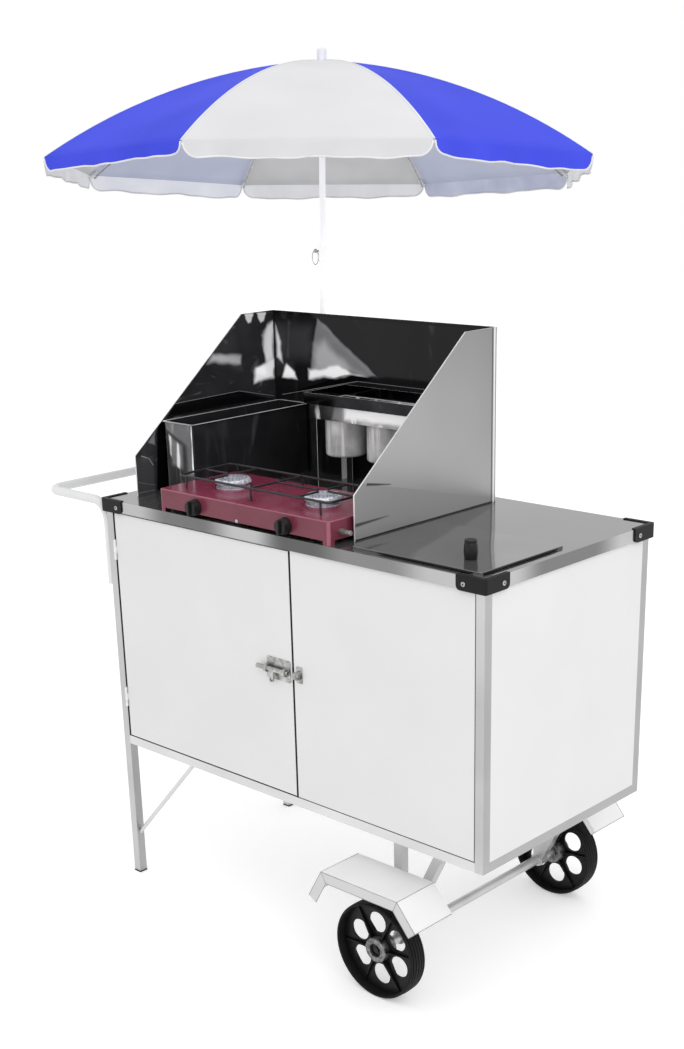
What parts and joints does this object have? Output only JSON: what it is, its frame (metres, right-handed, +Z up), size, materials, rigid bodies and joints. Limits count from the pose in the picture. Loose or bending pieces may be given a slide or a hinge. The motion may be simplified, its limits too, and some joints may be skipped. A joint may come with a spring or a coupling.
{
  "type": "street food cart",
  "caption": "Hand-pushed street food cart: white cabinet on legs and wheels, gas stove in a steel wind shield, food warmer, cold bin with lift-off lid, folding umbrella.",
  "frame": {"origin": "on the floor under the middle of the overall box, umbrella open", "axes": "+Z up, +Y to the rear (the door faces -Y), +X from the push handle to the wheels"},
  "size_m": [1.5539, 1.2766, 1.8147],
  "materials": {
    "white_paint": "satin powder coat",
    "frame_alloy": "drawn square tube",
    "stainless": "polished sheet",
    "zinc_steel": "zinc plated",
    "black_plastic": "moulded, fine grain",
    "black_knob": "moulded, glossy",
    "wheel_black": "moulded, satin",
    "tread": "solid rubber",
    "maroon_paint": "stove enamel",
    "burner_alloy": "cast and turned",
    "gas_pipe": "drawn tube, zinc plated",
    "grate_black": "black wire",
    "white_plastic": "moulded",
    "blue_cloth": "coated polyester, blue and white gores"
  },
  "bodies": {
    "cart": {"side_panels": "white_paint", "front_panel": "white_paint", "floor_panel": "white_paint", "push_handle": "white_paint", "fenders": "white_paint", "umbrella_holder": "white_paint", "pole_lower": "white_paint", "frame_posts": "frame_alloy", "frame_rails": "frame_alloy", "axle_struts": "frame_alloy", "worktop": "stainless", "shield_back": "stainless", "shield_sides": "stainless", "bread_trough": "stainless", "warmer_tray": "stainless", "warmer_stand": "stainless", "warmer_pots": "stainless", "cold_bin": "stainless", "hinge_post_leaves": "zinc_steel", "bolt_keeper": "zinc_steel", "axle": "zinc_steel", "pole_pin": "zinc_steel", "foot_caps": "black_plastic", "corner_guards": "black_plastic", "stove_body": "maroon_paint", "burners": "burner_alloy", "gas_manifold": "gas_pipe", "pan_support": "grate_black"},
    "door": {"door_panel": "white_paint", "hinge_door_leaves": "zinc_steel", "bolt_case": "zinc_steel"},
    "bolt": {"bolt_rod": "zinc_steel"},
    "lid": {"lid": "stainless", "lid_knob": "black_knob"},
    "knob_left": {"knob_left": "black_knob"},
    "knob_right": {"knob_right": "black_knob"},
    "wheel_front": {"wheel_front": "wheel_black", "tyre_front": "tread"},
    "wheel_rear": {"wheel_rear": "wheel_black", "tyre_rear": "tread"},
    "mast": {"pole_upper": "white_paint", "crown": "white_plastic", "canopy": "blue_cloth"},
    "runner": {"runner": "white_plastic"},
    "rib_1": {"rib_1": "zinc_steel"},
    "stretcher_1": {"stretcher_1": "zinc_steel"},
    "rib_2": {"rib_2": "zinc_steel"},
    "stretcher_2": {"stretcher_2": "zinc_steel"},
    "rib_3": {"rib_3": "zinc_steel"},
    "stretcher_3": {"stretcher_3": "zinc_steel"},
    "rib_4": {"rib_4": "zinc_steel"},
    "stretcher_4": {"stretcher_4": "zinc_steel"},
    "rib_5": {"rib_5": "zinc_steel"},
    "stretcher_5": {"stretcher_5": "zinc_steel"},
    "rib_6": {"rib_6": "zinc_steel"},
    "stretcher_6": {"stretcher_6": "zinc_steel"},
    "rib_7": {"rib_7": "zinc_steel"},
    "stretcher_7": {"stretcher_7": "zinc_steel"},
    "rib_8": {"rib_8": "zinc_steel"},
    "stretcher_8": {"stretcher_8": "zinc_steel"}
  },
  "joints": [
    {"name": "door_hinge", "type": "hinge", "parent": "cart", "child": "door", "pos_m": [-0.25767, -0.56276, 0.612], "axis": [0, 0, -1], "range_deg": [0, 170]},
    {"name": "bolt_slide", "type": "slide", "parent": "door", "child": "bolt", "axis": [1, 0, 0], "range_m": [0, 0.026]},
    {"name": "lid_lift", "type": "slide", "parent": "cart", "child": "lid", "axis": [0, 0, 1], "range_m": [0, 0.12]},
    {"name": "wheel_front_spin", "type": "hinge", "parent": "cart", "child": "wheel_front", "pos_m": [0.53133, -0.58576, 0.102], "axis": [0, 1, 0], "continuous": true},
    {"name": "wheel_rear_spin", "type": "hinge", "parent": "cart", "child": "wheel_rear", "pos_m": [0.53133, 0.00624, 0.102], "axis": [0, 1, 0], "continuous": true},
    {"name": "pole_slide", "type": "slide", "parent": "cart", "child": "mast", "axis": [-0.0497, 0.0846, 0.9952], "range_m": [0, 0.25]},
    {"name": "knob_left_turn", "type": "hinge", "parent": "cart", "child": "knob_left", "pos_m": [0.02383, -0.56507, 0.924], "axis": [0, -1, 0], "range_deg": [0, 180]},
    {"name": "knob_right_turn", "type": "hinge", "parent": "cart", "child": "knob_right", "pos_m": [0.28483, -0.56507, 0.924], "axis": [0, -1, 0], "range_deg": [0, 180]},
    {"name": "rib_1_fold", "type": "hinge", "parent": "mast", "child": "rib_1", "pos_m": [-0.19264, 0.07913, 1.7786], "axis": [-0.3219, 0.9419, -0.0962], "range_deg": [0, 45], "deforming": ["canopy"]},
    {"name": "stretcher_1_swing", "type": "hinge", "parent": "rib_1", "child": "stretcher_1", "pos_m": [-0.0204, 0.13415, 1.74094], "axis": [-0.3219, 0.9419, -0.0962], "range_deg": [-90.5, 0]},
    {"name": "rib_2_fold", "type": "hinge", "parent": "mast", "child": "rib_2", "pos_m": [-0.1992, 0.08655, 1.77764], "axis": [-0.8961, 0.4361, -0.0819], "range_deg": [0, 45]},
    {"name": "stretcher_2_swing", "type": "hinge", "parent": "rib_2", "child": "stretcher_2", "pos_m": [-0.11777, 0.24431, 1.72671], "axis": [-0.8961, 0.4361, -0.0819], "range_deg": [-90.5, 0]},
    {"name": "rib_3_fold", "type": "hinge", "parent": "mast", "child": "rib_3", "pos_m": [-0.20912, 0.08715, 1.77709], "axis": [-0.9455, -0.3251, -0.0196], "range_deg": [0, 45]},
    {"name": "stretcher_3_swing", "type": "hinge", "parent": "rib_3", "child": "stretcher_3", "pos_m": [-0.265, 0.25319, 1.7186], "axis": [-0.9455, -0.3251, -0.0196], "range_deg": [-90.5, 0]},
    {"name": "rib_4_fold", "type": "hinge", "parent": "mast", "child": "rib_4", "pos_m": [-0.21658, 0.08058, 1.77728], "axis": [-0.441, -0.8959, 0.0541], "range_deg": [0, 45]},
    {"name": "stretcher_4_swing", "type": "hinge", "parent": "rib_4", "child": "stretcher_4", "pos_m": [-0.37583, 0.15558, 1.72136], "axis": [-0.441, -0.8959, 0.0541], "range_deg": [-90.5, 0]},
    {"name": "rib_5_fold", "type": "hinge", "parent": "mast", "child": "rib_5", "pos_m": [-0.21723, 0.07068, 1.77809], "axis": [0.3219, -0.9419, 0.0962], "range_deg": [0, 45]},
    {"name": "stretcher_5_swing", "type": "hinge", "parent": "rib_5", "child": "stretcher_5", "pos_m": [-0.38536, 0.00866, 1.73338], "axis": [0.3219, -0.9419, 0.0962], "range_deg": [-90.5, 0]},
    {"name": "rib_6_fold", "type": "hinge", "parent": "mast", "child": "rib_6", "pos_m": [-0.21067, 0.06326, 1.77905], "axis": [0.8961, -0.4361, 0.0819], "range_deg": [0, 45]},
    {"name": "stretcher_6_swing", "type": "hinge", "parent": "rib_6", "child": "stretcher_6", "pos_m": [-0.28798, -0.1015, 1.74761], "axis": [0.8961, -0.4361, 0.0819], "range_deg": [-90.5, 0]},
    {"name": "rib_7_fold", "type": "hinge", "parent": "mast", "child": "rib_7", "pos_m": [-0.20075, 0.06266, 1.77959], "axis": [0.9455, 0.3251, 0.0196], "range_deg": [0, 45]},
    {"name": "stretcher_7_swing", "type": "hinge", "parent": "rib_7", "child": "stretcher_7", "pos_m": [-0.14076, -0.11038, 1.75572], "axis": [0.9455, 0.3251, 0.0196], "range_deg": [-90.5, 0]},
    {"name": "rib_8_fold", "type": "hinge", "parent": "mast", "child": "rib_8", "pos_m": [-0.19329, 0.06924, 1.77941], "axis": [0.441, 0.8959, -0.0541], "range_deg": [0, 45]},
    {"name": "stretcher_8_swing", "type": "hinge", "parent": "rib_8", "child": "stretcher_8", "pos_m": [-0.02992, -0.01277, 1.75296], "axis": [0.441, 0.8959, -0.0541], "range_deg": [-90.5, 0]},
    {"name": "runner_slide", "type": "slide", "parent": "mast", "child": "runner", "axis": [-0.0497, 0.0846, 0.9952], "range_m": [-0.2313, 0]}
  ],
  "couplings": [
    {"joint": "stretcher_1_swing", "follows": "rib_1_fold", "ratio": -2},
    {"joint": "rib_2_fold", "follows": "rib_1_fold", "ratio": 1},
    {"joint": "stretcher_2_swing", "follows": "rib_1_fold", "ratio": -2},
    {"joint": "rib_3_fold", "follows": "rib_1_fold", "ratio": 1},
    {"joint": "stretcher_3_swing", "follows": "rib_1_fold", "ratio": -2},
    {"joint": "rib_4_fold", "follows": "rib_1_fold", "ratio": 1},
    {"joint": "stretcher_4_swing", "follows": "rib_1_fold", "ratio": -2},
    {"joint": "rib_5_fold", "follows": "rib_1_fold", "ratio": 1},
    {"joint": "stretcher_5_swing", "follows": "rib_1_fold", "ratio": -2},
    {"joint": "rib_6_fold", "follows": "rib_1_fold", "ratio": 1},
    {"joint": "stretcher_6_swing", "follows": "rib_1_fold", "ratio": -2},
    {"joint": "rib_7_fold", "follows": "rib_1_fold", "ratio": 1},
    {"joint": "stretcher_7_swing", "follows": "rib_1_fold", "ratio": -2},
    {"joint": "rib_8_fold", "follows": "rib_1_fold", "ratio": 1},
    {"joint": "stretcher_8_swing", "follows": "rib_1_fold", "ratio": -2},
    {"joint": "runner_slide", "follows": "rib_1_fold", "m_per_rad": -0.29325}
  ]
}
